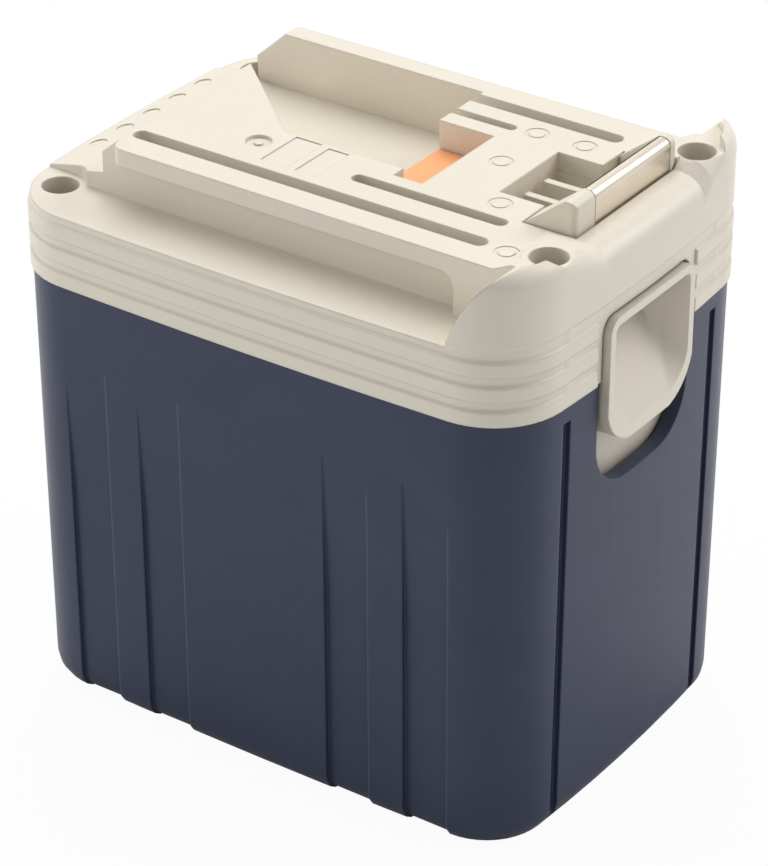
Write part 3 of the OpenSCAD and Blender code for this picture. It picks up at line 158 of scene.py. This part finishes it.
class StudioSettings(bpy.types.PropertyGroup):
    """Camera and light."""

    lens: FloatProperty(
        name="Lens", description="Focal length over a 36 mm sensor", default=150.8,
        min=20.0, max=400.0, unit="CAMERA",
    )
    ambient: FloatProperty(
        name="Ambient", description="Strength of the light from all round", default=0.41,
        min=0.0, max=3.0,
    )
    key_power: power_property(
        "Key", 7.6, "Power of the large lamp overhead, behind and to the left")
    fill_power: power_property(
        "Fill", 4.3, "Power of the lamp beyond the front end")
    end_power: power_property(
        "End", 5.5, "Power of the lamp that lights the latch end")
    floor_white: FloatProperty(
        name="Floor white", description="Share of the floor's colour that is plain white",
        default=0.95, min=0.0, max=1.0,
    )


# Shader expressions


class Wire:
    """A shader socket that takes part in Python expressions."""

    def __init__(self, tree, socket):
        self.tree = tree
        self.socket = socket

    def _maths(self, operation, a, b):
        return self.tree.node("ShaderNodeMath", {"operation": operation}, {0: a, 1: b})

    def __add__(self, other):
        return self._maths("ADD", self, other)

    __radd__ = __add__

    def __sub__(self, other):
        return self._maths("SUBTRACT", self, other)

    def __rsub__(self, other):
        return self._maths("SUBTRACT", other, self)

    def __mul__(self, other):
        return self._maths("MULTIPLY", self, other)

    __rmul__ = __mul__

    def either(self, other):
        """1 where this or the other is 1."""
        return self._maths("MAXIMUM", self, other)

    def smooth(self, low, high):
        """0 below low, 1 above high and a smooth rise between."""
        return self.tree.node(
            "ShaderNodeMapRange", {"interpolation_type": "SMOOTHSTEP"},
            {"Value": self, "From Min": low, "From Max": high, "To Min": 0.0, "To Max": 1.0},
        )


class Tree:
    """A node tree and the one way to add to it."""

    def __init__(self, tree):
        self.nodes = tree.nodes
        self.links = tree.links

    def node(self, kind, settings=None, inputs=None, output=0):
        """Adds a node: its settings first, then the values or links of its sockets."""
        added = self.nodes.new(kind)
        for key, value in (settings or {}).items():
            setattr(added, key, value)
        for key, value in (inputs or {}).items():
            self.feed(added.inputs[key], value)
        return Wire(self, added.outputs[output])

    def feed(self, socket, value):
        """Links a wire to a socket, or sets the socket's value."""
        if isinstance(value, Wire):
            self.links.new(value.socket, socket)
        elif socket.type == "RGBA":
            socket.default_value = (*value, 1.0)
        else:
            socket.default_value = value


class Finish(Tree):
    """One material's node tree."""

    def __init__(self, name):
        self.material = bpy.data.materials.new(name)
        self.material.use_nodes = True
        super().__init__(self.material.node_tree)
        self.shader = self.nodes["Principled BSDF"]

    def set(self, **values):
        """Sets the main shader's sockets; an underscore stands for a space."""
        for key, value in values.items():
            self.feed(self.shader.inputs[key.replace("_", " ")], value)

    def place(self, stretch=(1.0, 1.0, 1.0)):
        """Object coordinates, stretched along the axes."""
        spot = self.node("ShaderNodeTexCoord", output="Object")
        return self.node("ShaderNodeMapping", {}, {"Vector": spot, "Scale": stretch})

    def noise(self, scale, detail=2.0, rough=0.5, stretch=(1.0, 1.0, 1.0)):
        """Noise of about one feature per 1/scale metres."""
        return self.node("ShaderNodeTexNoise", {}, {
            "Vector": self.place(stretch), "Scale": scale, "Detail": detail,
            "Roughness": rough})

    def mix(self, factor, a, b):
        """Mixes two colours, which are sockets 6 and 7 of the node."""
        return self.node("ShaderNodeMix", {"data_type": "RGBA"},
                         {"Factor": factor, 6: a, 7: b}, output=2)

    def normal(self):
        """The surface's own normal."""
        return self.node("ShaderNodeNewGeometry", output="Normal")

    def part_of(self, vector, axis):
        """One axis of a vector."""
        return self.node("ShaderNodeSeparateXYZ", {}, {"Vector": vector}, output=axis)

    def soft_edge(self, radius):
        """The normal with its edges rounded, and a mask of how much it turned there."""
        rounded = self.node("ShaderNodeBevel", {"samples": 6}, {"Radius": radius})
        aligned = self.node("ShaderNodeVectorMath", {"operation": "DOT_PRODUCT"},
                            {0: rounded, 1: self.normal()}, output="Value")
        return rounded, 1.0 - aligned

    def bump(self, height, distance, normal=None):
        """A normal from a height."""
        inputs = {"Height": height, "Distance": distance}
        if normal is not None:
            inputs["Normal"] = normal
        return self.node("ShaderNodeBump", {}, inputs)


def linear(colour):
    """The scene colour of a display colour, by the sRGB curve."""
    return tuple(
        c / 12.92 if c <= 0.04045 else ((c + 0.055) / 1.055) ** 2.4 for c in colour
    )


def shade(colour, factor):
    """A colour made lighter or darker."""
    return tuple(min(1.0, c * factor) for c in colour)


# Materials


def moulded_plastic(name, colour, radius, roughness, wear, mottle, gloss=0.5, painted_shade_share=0.1,
                    shade_reach=0.012, painted_highlight=0.0):
    """Satin moulded plastic: fine mould grain, faint flow marks, paler, smoother edges, and
    painted shade: recesses darker by a share within a reach of other walls. The painted
    highlight is a share of pale shine painted on the edges that face the front end."""
    made = Finish(name)
    base = linear(colour)
    flow = made.noise(scale=38.0, detail=3.0, rough=0.55, stretch=(1.0, 1.0, 2.2))
    speck = made.noise(scale=520.0)
    rounded, edge = made.soft_edge(radius)
    tone = made.mix((flow * 0.7 + speck * 0.3).smooth(0.3, 0.7),
                    shade(base, 1.0 - mottle), shade(base, 1.0 + mottle))
    # Painted shade: ambient occlusion darkens the colour in creases, recesses and between parts
    unshaded_share = made.node("ShaderNodeAmbientOcclusion", {"samples": 8}, {"Distance": shade_reach},
                         output="AO")
    shaded_tone = made.mix(painted_shade_share, tone, (0.0, 0.0, 0.0))
    tone = made.mix(unshaded_share.smooth(0.1, 0.85), shaded_tone, tone)
    patches = made.noise(scale=160.0, detail=4.0, rough=0.6)
    rubbed = (edge * 3.0).smooth(0.05, 1.0) * (patches * wear)
    wear_and_highlight = made.mix(rubbed, tone, shade(base, 1.0 + 2.0 * wear))
    # Painted highlight: pale shine on the edges that turn toward the front end, where the fill
    # lamp stands
    if painted_highlight:
        turned = made.node("ShaderNodeVectorMath", {"operation": "SUBTRACT"},
                           {0: made.normal(), 1: rounded})
        highlight_edges = made.part_of(turned, "X").smooth(0.02, 0.22)
        wear_and_highlight = made.mix(highlight_edges * painted_highlight, wear_and_highlight, shade(base, 2.6))
    scuffs = made.noise(scale=90.0, detail=6.0, rough=0.7, stretch=(1.0, 1.0, 0.25))
    rough = roughness + (speck - 0.5) * 0.10 + scuffs.smooth(0.56, 0.8) * 0.07
    grain = made.noise(scale=2600.0, rough=0.6)
    depth = bpy.context.scene.pack_finish.grain_depth
    made.set(Base_Color=wear_and_highlight, Roughness=rough, Normal=made.bump(grain, depth, rounded),
             Specular_IOR_Level=gloss, IOR=1.5)
    return made.material


def bright_steel(name, colour, radius, line_depth, shade_line_width, shade_line_fade):
    """Rolled sheet steel with fine lines along its length and rounded edges. Its top has a
    painted shade for a width at the back edge, where it meets the latch, and fades to pale from
    there."""
    made = Finish(name)
    base = linear(colour)
    lines = made.noise(scale=260.0, detail=5.0, rough=0.65, stretch=(14.0, 1.0, 14.0))
    smear = made.noise(scale=70.0, detail=3.0)
    rounded, edge = made.soft_edge(radius)
    tone = made.mix((lines * 0.5 + smear * 0.5).smooth(0.3, 0.75),
                    shade(base, 0.93), shade(base, 1.05))
    # Painted shade: a near-black line on the top at the back edge, for the shadowed gap between
    # cap and latch
    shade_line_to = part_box("latch_plate")[0][0] + shade_line_width
    spot = made.node("ShaderNodeTexCoord", output="Object")
    back = 1.0 - made.part_of(spot, "X").smooth(shade_line_to, shade_line_to + shade_line_fade)
    upward = made.part_of(made.normal(), "Z").smooth(0.2, 0.5)
    tone = made.mix(back * upward, tone, (0.012, 0.011, 0.010))
    made.set(Base_Color=tone, Metallic=1.0, Roughness=0.28 + lines * 0.08 + edge * 0.2,
             Normal=made.bump(lines, line_depth, rounded))
    return made.material


def plain_metal(name, colour, roughness):
    """Plated or stamped metal with a faint grain and duller patches."""
    made = Finish(name)
    base = linear(colour)
    patch = made.noise(scale=240.0, detail=4.0, rough=0.6)
    grain = made.noise(scale=3200.0)
    tone = made.mix(patch.smooth(0.35, 0.7), shade(base, 0.82), shade(base, 1.06))
    made.set(Base_Color=tone, Metallic=1.0, Roughness=roughness + (patch - 0.5) * 0.2,
             Normal=made.bump(grain, distance=0.000008))
    return made.material


def soft_sheet(name, colour, roughness, cell_scale, depth):
    """Foam, fibre, board or ceramic: small cells or fibres over a dull colour."""
    made = Finish(name)
    base = linear(colour)
    cells = made.node("ShaderNodeTexVoronoi", {}, {"Vector": made.place(), "Scale": cell_scale},
                      output="Distance")
    fibres = made.noise(scale=cell_scale * 0.6, detail=5.0, rough=0.7)
    tone = made.mix((cells + fibres).smooth(0.4, 1.4), shade(base, 0.8), shade(base, 1.2))
    made.set(Base_Color=tone, Roughness=roughness + (fibres - 0.5) * 0.15,
             Normal=made.bump(cells, depth))
    return made.material


def shrink_sleeve(name, colour):
    """Glossy shrink film with faint lengthwise wrinkles."""
    made = Finish(name)
    base = linear(colour)
    folds = made.noise(scale=120.0, detail=4.0, rough=0.6, stretch=(1.0, 1.0, 0.12))
    tone = made.mix(folds.smooth(0.3, 0.7), shade(base, 0.85), shade(base, 1.12))
    made.set(Base_Color=tone, Roughness=0.24 + folds * 0.12,
             Normal=made.bump(folds, distance=0.00008))
    return made.material


def wire_jacket(name, colour):
    """Soft wire insulation, or the sensor's dip of epoxy."""
    made = Finish(name)
    base = linear(colour)
    dust = made.noise(scale=300.0, detail=4.0, rough=0.6)
    tone = made.mix(dust.smooth(0.35, 0.75), shade(base, 0.9), shade(base, 1.15))
    made.set(Base_Color=tone, Roughness=0.42 + (dust - 0.5) * 0.2,
             Normal=made.bump(dust, distance=0.00002))
    return made.material


MATERIALS = {}


def material(key):
    """The named material, made once."""
    colours = bpy.context.scene.pack_colours
    edges = bpy.context.scene.pack_finish
    makers = {
        "cream": lambda: moulded_plastic(
            "cream_plastic", colours.cream, edges.cover_edge, roughness=0.40, wear=0.035,
            mottle=0.012),
        # The button's cream is the cover's cream with stronger, wider painted shade, which
        # darkens its cup
        "cup": lambda: moulded_plastic(
            "button_cream", colours.cream, edges.cover_edge, roughness=0.40, wear=0.035,
            mottle=0.012, painted_shade_share=0.55, shade_reach=0.022),
        # Navy: painted shade in recesses, and a painted highlight on the flutes' edges that face
        # the front end
        "navy": lambda: moulded_plastic(
            "navy_plastic", colours.navy, edges.case_edge, roughness=0.36, wear=0.30,
            mottle=0.05, gloss=0.28, painted_shade_share=0.2, painted_highlight=0.6),
        "orange": lambda: moulded_plastic(
            "orange_plastic", colours.orange, edges.part_edge, roughness=0.42, wear=0.04,
            mottle=0.02),
        "charcoal": lambda: moulded_plastic(
            "charcoal_plastic", colours.charcoal, edges.part_edge, roughness=0.5, wear=0.3,
            mottle=0.05),
        "steel": lambda: bright_steel(
            "bright_steel", colours.steel, edges.steel_edge, line_depth=0.000003,
            shade_line_width=0.00022, shade_line_fade=0.00012),
        "zinc": lambda: plain_metal("zinc_plate", colours.zinc, roughness=0.38),
        "spring": lambda: plain_metal("spring_wire", colours.spring, roughness=0.28),
        "brass": lambda: plain_metal("contact_brass", colours.brass, roughness=0.30),
        "nickel": lambda: plain_metal("nickel_strip", colours.nickel, roughness=0.26),
        "sleeve": lambda: shrink_sleeve("cell_sleeve", colours.sleeve),
        "board": lambda: soft_sheet(
            "ring_board", colours.board, roughness=0.8, cell_scale=2200.0, depth=0.00002),
        "fibre": lambda: soft_sheet(
            "fibre_sheet", colours.fibre, roughness=0.8, cell_scale=1800.0, depth=0.00003),
        "foam": lambda: soft_sheet(
            "black_foam", colours.foam, roughness=0.9, cell_scale=900.0, depth=0.0002),
        "ceramic": lambda: soft_sheet(
            "fuse_ceramic", colours.ceramic, roughness=0.6, cell_scale=2600.0, depth=0.00001),
        "red": lambda: wire_jacket("red_wire", colours.red),
        "black": lambda: wire_jacket("black_wire", colours.black),
        "yellow": lambda: wire_jacket("yellow_wire", colours.yellow),
        "epoxy": lambda: wire_jacket("sensor_epoxy", colours.epoxy),
    }
    if key not in MATERIALS:
        MATERIALS[key] = makers[key]()
    return MATERIALS[key]


# Pieces


def finish_node(node, key):
    """Gives a CAD node that stays its material."""
    shown = frame["nodes"][node]
    shown.data.materials.clear()
    shown.data.materials.append(material(key))


# In metres: corners closer than the weld become one, and edges shorter than a sliver go
WELD = 0.000002
SLIVER = 0.000001


def welded_mesh(source, name):
    """A welded copy of a CAD node's mesh, with smooth rounds and crisp edges."""
    limit = bpy.context.scene.pack_finish.smooth_angle
    shape = bmesh.new()
    shape.from_mesh(source.data)
    bmesh.ops.remove_doubles(shape, verts=shape.verts, dist=WELD)
    bmesh.ops.dissolve_degenerate(shape, edges=shape.edges, dist=SLIVER)
    for face in shape.faces:
        face.smooth = True
    for edge in shape.edges:
        edge.smooth = len(edge.link_faces) == 2 and edge.calc_face_angle(math.pi) < limit
    mesh = bpy.data.meshes.new(name)
    shape.to_mesh(mesh)
    shape.free()
    if "custom_normal" in mesh.attributes:
        mesh.attributes.remove(mesh.attributes["custom_normal"])
    return mesh


def moulded_piece(node, name, key):
    """A smoothly shaded copy of a CAD node, which stands for it."""
    source = frame["nodes"][node]
    body = body_of(source)[0]
    mesh = welded_mesh(source, name)
    mesh.materials.append(material(key))
    piece = bpy.data.objects.new(name, mesh)
    bpy.context.scene.collection.objects.link(piece)
    even = piece.modifiers.new("even_shading", "WEIGHTED_NORMAL")
    even.keep_sharp = True
    even.weight = 100
    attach(piece, body)
    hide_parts(node)
    return piece


# Operators


class PACK_OT_case(bpy.types.Operator):
    """Make the fluted lower case"""

    bl_idname = "pack.case"
    bl_label = "Lower case"

    def execute(self, context):
        moulded_piece("lower_case", "case_tub", "navy")
        return {"FINISHED"}


class PACK_OT_cover(bpy.types.Operator):
    """Make the cream cover with its rails"""

    bl_idname = "pack.cover"
    bl_label = "Cover"

    def execute(self, context):
        moulded_piece("upper_cover", "cover_shell", "cream")
        return {"FINISHED"}


class PACK_OT_button(bpy.types.Operator):
    """Make the release button and the frame behind it"""

    bl_idname = "pack.button"
    bl_label = "Release button"

    def execute(self, context):
        moulded_piece("release_button", "button_cup", "cup")
        finish_node("slide_frame", "charcoal")
        return {"FINISHED"}


class PACK_OT_latch(bpy.types.Operator):
    """Make the latch with its steel cap"""

    bl_idname = "pack.latch"
    bl_label = "Latch"

    def execute(self, context):
        moulded_piece("latch", "latch_wedge", "cream")
        moulded_piece("latch_plate", "latch_cap", "steel")
        return {"FINISHED"}


class PACK_OT_contacts(bpy.types.Operator):
    """Make the contact carrier and the contacts"""

    bl_idname = "pack.contacts"
    bl_label = "Contacts"

    def execute(self, context):
        moulded_piece("terminal_block", "contact_carrier", "orange")
        for node in ("positive_terminal", "negative_terminal", "signal_terminal"):
            finish_node(node, "brass")
        return {"FINISHED"}


class PACK_OT_fixings(bpy.types.Operator):
    """Finish the screws, the springs and their seat"""

    bl_idname = "pack.fixings"
    bl_label = "Screws and springs"

    def execute(self, context):
        for node in ("cover_screws", "terminal_screws"):
            finish_node(node, "zinc")
        finish_node("spring_seat", "charcoal")
        springs = moulded_piece("button_springs", "coil_springs", "spring")
        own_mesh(springs)
        return {"FINISHED"}


# The material of each node inside the case
INSIDE = {
    "lower_cells": "nickel", "upper_cells": "nickel", "cell_buttons": "nickel",
    "lower_sleeves": "sleeve", "upper_sleeves": "sleeve", "cell_rings": "board",
    "bottom_links": "nickel", "lower_links": "nickel", "upper_links": "nickel",
    "top_links": "nickel", "bottom_pad": "foam", "side_pads": "foam", "bottom_sheet": "fibre",
    "middle_sheet": "fibre", "top_sheet": "fibre", "positive_lead": "red",
    "negative_lead": "black", "sensor_leads": "yellow", "thermistor": "epoxy",
    "thermal_fuse": "ceramic",
}


class PACK_OT_cells(bpy.types.Operator):
    """Finish the cells, strips, sheets, pads and leads inside the case"""

    bl_idname = "pack.cells"
    bl_label = "Cells and wiring"

    def execute(self, context):
        for node, key in INSIDE.items():
            finish_node(node, key)
        return {"FINISHED"}


# Stage

FLOOR_REACH = 3.0
# Just under the case, so that the two faces don't share a plane
FLOOR_LEVEL = -0.0002
# Each lamp's place, the side of its square and the setting that holds its power
LAMPS = {
    "key_lamp": ((-0.35, 0.30, 1.10), 0.8, "key_power"),
    "fill_lamp": ((-1.00, -0.55, 0.35), 0.6, "fill_power"),
    "end_lamp": ((0.66, 0.70, 0.80), 0.6, "end_power"),
}
LAMP_TARGET = (0.0, 0.0, 0.07)
CAMERA_PLACE = (0.344396, -0.495113, 0.411355)
CAMERA_TARGET = (0.00067, 0.00047, 0.05478)
SENSOR_WIDTH = 36.0
NEAREST_SEEN = 0.01
WHITE = (1.0, 1.0, 1.0)
PALE_SKY = (0.8, 0.8, 0.8)
FLOOR_TONES = ((0.86, 0.86, 0.86), (0.90, 0.90, 0.90))


def aimed(name, data, place, target):
    """Puts a lamp or camera at a place and turns it to its target."""
    made = bpy.data.objects.new(name, data)
    made.location = place
    made.rotation_euler = (Vector(target) - Vector(place)).to_track_quat("-Z", "Y").to_euler()
    bpy.context.scene.collection.objects.link(made)
    return made


def studio_lamp(name, place, side, power):
    """A soft square lamp that faces the pack."""
    data = bpy.data.lights.new(name, "AREA")
    data.shape = "SQUARE"
    data.size = side
    data.energy = power
    aimed(name, data, place, LAMP_TARGET)


def studio_camera(lens):
    """The camera that sees the pack as the photograph does."""
    data = bpy.data.cameras.new("photo_camera")
    data.lens = lens
    data.sensor_width = SENSOR_WIDTH
    data.clip_start = NEAREST_SEEN
    bpy.context.scene.camera = aimed("photo_camera", data, CAMERA_PLACE, CAMERA_TARGET)


def studio_world(strength):
    """White as light, and pale grey to the camera, through glass and in reflections."""
    world = bpy.data.worlds.new("studio_white")
    bpy.context.scene.world = world
    world.use_nodes = True
    sky = Tree(world.node_tree)
    camera, glass, shine = (
        sky.node("ShaderNodeLightPath", output=f"Is {ray} Ray")
        for ray in ("Camera", "Transmission", "Glossy"))
    light = sky.nodes["Background"]
    sky.feed(light.inputs["Color"], WHITE)
    sky.feed(light.inputs["Strength"], strength)
    pale = sky.node("ShaderNodeBackground", {}, {"Color": PALE_SKY, "Strength": 1.0})
    mixed = sky.node("ShaderNodeMixShader", {}, {
        0: camera.either(glass).either(shine), 1: Wire(sky, light.outputs[0]), 2: pale})
    sky.feed(sky.nodes["World Output"].inputs["Surface"], mixed)


def floor_material(white_share):
    """A pale floor that the camera sees nearly white, with the pack's soft shadow."""
    made = Finish("studio_floor")
    tone = made.mix(made.noise(scale=3.0), *FLOOR_TONES)
    made.set(Base_Color=tone, Roughness=0.9, Specular_IOR_Level=0.1)
    seen = made.node("ShaderNodeLightPath", output="Is Camera Ray")
    glow = made.node("ShaderNodeEmission", {}, {"Color": WHITE, "Strength": 1.0})
    mixed = made.node("ShaderNodeMixShader", {}, {
        0: seen * white_share, 1: Wire(made, made.shader.outputs[0]), 2: glow})
    made.feed(made.nodes["Material Output"].inputs["Surface"], mixed)
    return made.material


def studio_floor(white_share):
    """A wide square floor under the pack."""
    corners = [(x * FLOOR_REACH, y * FLOOR_REACH, FLOOR_LEVEL)
               for x, y in ((-1, -1), (1, -1), (1, 1), (-1, 1))]
    mesh = bpy.data.meshes.new("studio_floor")
    mesh.from_pydata(corners, [], [(0, 1, 2, 3)])
    mesh.materials.append(floor_material(white_share))
    floor = bpy.data.objects.new("studio_floor", mesh)
    bpy.context.scene.collection.objects.link(floor)


class PACK_OT_stage(bpy.types.Operator):
    """Set the floor, the lamps and the camera"""

    bl_idname = "pack.stage"
    bl_label = "Studio stage"

    def execute(self, context):
        studio = context.scene.pack_studio
        context.scene.view_settings.view_transform = "Standard"
        studio_world(studio.ambient)
        studio_floor(studio.floor_white)
        for name, (place, side, power) in LAMPS.items():
            studio_lamp(name, place, side, getattr(studio, power))
        studio_camera(studio.lens)
        return {"FINISHED"}


# Registration

OPERATORS = (PACK_OT_case, PACK_OT_cover, PACK_OT_button, PACK_OT_latch, PACK_OT_contacts,
             PACK_OT_fixings, PACK_OT_cells, PACK_OT_stage)
GROUPS = {"pack_colours": PackColours, "pack_finish": PackFinish, "pack_studio": StudioSettings}


class PACK_PT_parts(bpy.types.Panel):
    """Lists the pack's pieces and settings"""

    bl_label = "Battery pack"
    bl_space_type = "VIEW_3D"
    bl_region_type = "UI"
    bl_category = "Pack"

    def draw(self, context):
        layout = self.layout
        for step in OPERATORS:
            layout.operator(step.bl_idname)
        for group in GROUPS:
            settings = getattr(context.scene, group)
            box = layout.box()
            for key in settings.bl_rna.properties.keys():
                if key not in ("rna_type", "name"):
                    box.prop(settings, key)


def register():
    """Registers the settings, the operators and the panel."""
    for name, group in GROUPS.items():
        bpy.utils.register_class(group)
        setattr(bpy.types.Scene, name, PointerProperty(type=group))
    for step in (*OPERATORS, PACK_PT_parts):
        bpy.utils.register_class(step)


def unregister():
    """Removes what register added."""
    for step in (PACK_PT_parts, *reversed(OPERATORS)):
        bpy.utils.unregister_class(step)
    for name, group in GROUPS.items():
        delattr(bpy.types.Scene, name)
        bpy.utils.unregister_class(group)


def main():
    """Builds every piece and the stage."""
    register()
    bpy.ops.pack.case()
    bpy.ops.pack.cover()
    bpy.ops.pack.button()
    bpy.ops.pack.latch()
    bpy.ops.pack.contacts()
    bpy.ops.pack.fixings()
    bpy.ops.pack.cells()
    bpy.ops.pack.stage()


if __name__ == "__main__":
    main()
